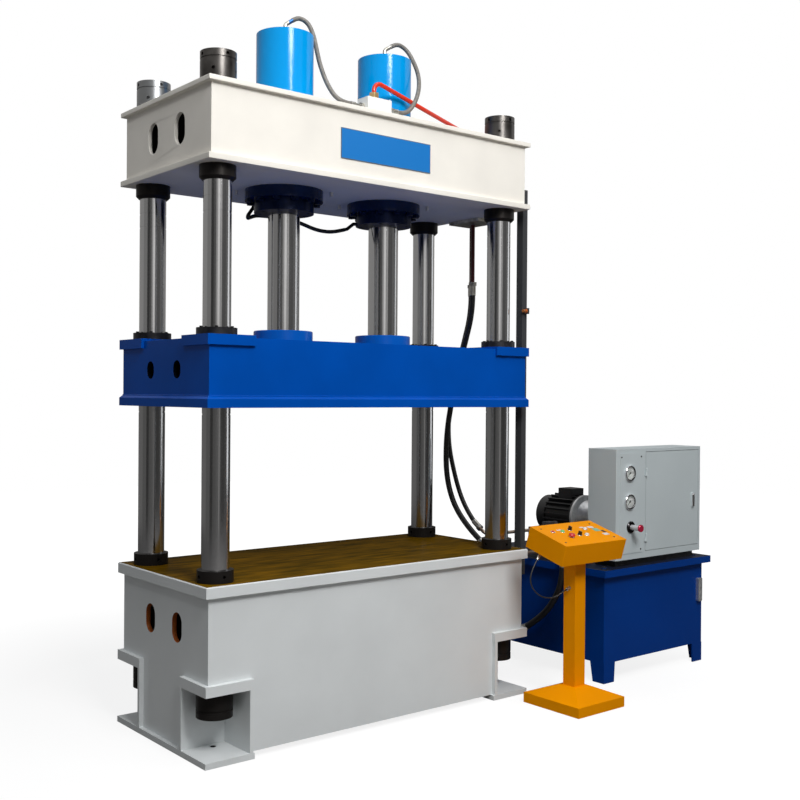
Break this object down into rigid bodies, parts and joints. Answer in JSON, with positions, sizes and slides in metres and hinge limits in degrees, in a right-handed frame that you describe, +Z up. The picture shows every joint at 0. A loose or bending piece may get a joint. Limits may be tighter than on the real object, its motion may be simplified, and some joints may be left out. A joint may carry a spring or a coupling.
{
  "type": "hydraulic press",
  "caption": "Four-column hydraulic press with twin cylinders over a guided slide and an open bed, its oil power unit with control cabinet, and a push-button console on a post.",
  "frame": {"origin": "on the floor, at the centre of the press's four foundation bolts", "axes": "+Z up, +X along the press towards the power unit, +Y to the rear, away from the console"},
  "size_m": [3.756, 1.617, 3.903],
  "materials": {
    "cream_paint": "satin enamel",
    "bed_paint": "satin enamel, oiled steel table",
    "slide_blue": "gloss enamel",
    "sky_blue": "gloss enamel",
    "navy_blue": "satin enamel",
    "tank_blue": "satin enamel",
    "chrome": "hard chrome",
    "black_steel": "blackened",
    "seal": "oiled seal",
    "piston_iron": "machined",
    "white_paint": "satin enamel",
    "zinc": "zinc plated",
    "red_paint": "gloss enamel",
    "pipe_steel": "drawn tube",
    "switch_orange": "plated barrel",
    "sign_blue": "enamelled",
    "level_metal": "anodised",
    "cabinet_grey": "fine powder coat",
    "gauge_glass": "clear",
    "motor_black": "painted black",
    "silver_casting": "cast",
    "rotor_steel": "ground",
    "valve_steel": "phosphated",
    "console_orange": "satin powder coat",
    "black_plastic": "moulded",
    "bezel_metal": "plated",
    "lamp_plastic": "moulded lens",
    "red_plastic": "moulded",
    "valve_rod": "rod with a red cap, in a dark collar",
    "hose_grey": "braided cover",
    "hose_black": "smooth cover"
  },
  "bodies": {
    "machine": {"bed_weldment": "bed_paint", "crown_weldment": "cream_paint", "guide_columns": "chrome", "column_nuts": "black_steel", "cylinder_left": "sky_blue", "cylinder_right": "sky_blue", "cylinder_glands": "navy_blue", "cylinder_bolts": "navy_blue", "rod_seals": "seal", "manifold_block": "white_paint", "hose_fittings": "zinc", "pressure_pipe": "red_paint", "oil_pipes": "pipe_steel", "limit_rail": "black_steel", "limit_switch": "switch_orange", "sign_plate": "sign_blue", "tank_body": "tank_blue", "tank_lid": "tank_blue", "level_gauge": "level_metal", "cabinet_plinth": "black_steel", "cabinet_shell": "cabinet_grey", "control_gear": "zinc", "instrument_panel": "cabinet_grey", "gauge_cases": "chrome", "gauge_lenses": "gauge_glass", "motor_frame": "motor_black", "fan_cover": "motor_black", "bell_housing": "silver_casting", "pump": "silver_casting", "suction_strainer": "black_steel", "valve_block": "valve_steel", "console_stand": "console_orange", "console_box": "console_orange", "console_face": "console_orange", "control_bezels": "bezel_metal", "indicator_lamps": "lamp_plastic", "top_hose_left": "hose_grey", "top_hose_right": "hose_grey", "gland_link_hose": "hose_black", "drop_hose_main": "hose_black", "drop_hose_return": "hose_black", "supply_hose": "hose_black", "console_cable": "hose_black"},
    "slide": {"slide_weldment": "slide_blue", "piston_rods": "chrome", "pistons": "piston_iron", "rod_flanges": "slide_blue", "guide_bushes": "black_steel", "slide_bolts": "black_steel"},
    "door": {"cabinet_door": "cabinet_grey"},
    "latch": {"door_handle": "chrome"},
    "lower_pointer": {"lower_needle": "black_plastic"},
    "upper_pointer": {"upper_needle": "black_plastic"},
    "valve": {"valve_handle": "valve_rod"},
    "rotor": {"motor_rotor": "rotor_steel", "motor_fan": "motor_black"},
    "start_button": {"red_button": "red_plastic"},
    "selector": {"selector_switch": "black_plastic"},
    "stop_button": {"emergency_stop": "red_plastic"},
    "speed_knob": {"black_knob": "black_plastic"}
  },
  "joints": [
    {"name": "slide_travel", "type": "slide", "parent": "machine", "child": "slide", "axis": [0, 0, 1], "range_m": [-0.25, 0.5]},
    {"name": "door_hinge", "type": "hinge", "parent": "machine", "child": "door", "pos_m": [2.0085, -0.659, 1.118], "axis": [0, 0, -1], "range_deg": [0, 110]},
    {"name": "latch_turn", "type": "hinge", "parent": "door", "child": "latch", "pos_m": [2.506, -0.652, 1.1], "axis": [0, 1, 0], "range_deg": [0, 90]},
    {"name": "lower_pointer_turn", "type": "hinge", "parent": "machine", "child": "lower_pointer", "pos_m": [1.841, -0.655, 1.124], "axis": [0, 1, 0], "range_deg": [0, 270], "stiffness_Nm_per_rad": 0.02},
    {"name": "upper_pointer_turn", "type": "hinge", "parent": "machine", "child": "upper_pointer", "pos_m": [1.841, -0.655, 1.305], "axis": [0, 1, 0], "range_deg": [0, 270], "stiffness_Nm_per_rad": 0.02},
    {"name": "valve_turn", "type": "hinge", "parent": "machine", "child": "valve", "pos_m": [1.854, -0.655, 0.962], "axis": [0, 1, 0], "range_deg": [-360, 360]},
    {"name": "rotor_spin", "type": "hinge", "parent": "machine", "child": "rotor", "pos_m": [1.95, -0.184, 0.978], "axis": [0, 1, 0], "continuous": true},
    {"name": "start_press", "type": "slide", "parent": "machine", "child": "start_button", "axis": [0, 0.2823, -0.9593], "range_m": [0, 0.003], "stiffness_N_per_m": 300},
    {"name": "selector_turn", "type": "hinge", "parent": "machine", "child": "selector", "pos_m": [1.108, -0.80789, 1.01377], "axis": [0, -0.2823, 0.9593], "range_deg": [-45, 45]},
    {"name": "stop_press", "type": "slide", "parent": "machine", "child": "stop_button", "axis": [0, 0.2823, -0.9593], "range_m": [0, 0.005]},
    {"name": "speed_turn", "type": "hinge", "parent": "machine", "child": "speed_knob", "pos_m": [1.112, -0.88176, 0.99203], "axis": [0, -0.2823, 0.9593], "range_deg": [-60, 60]}
  ]
}
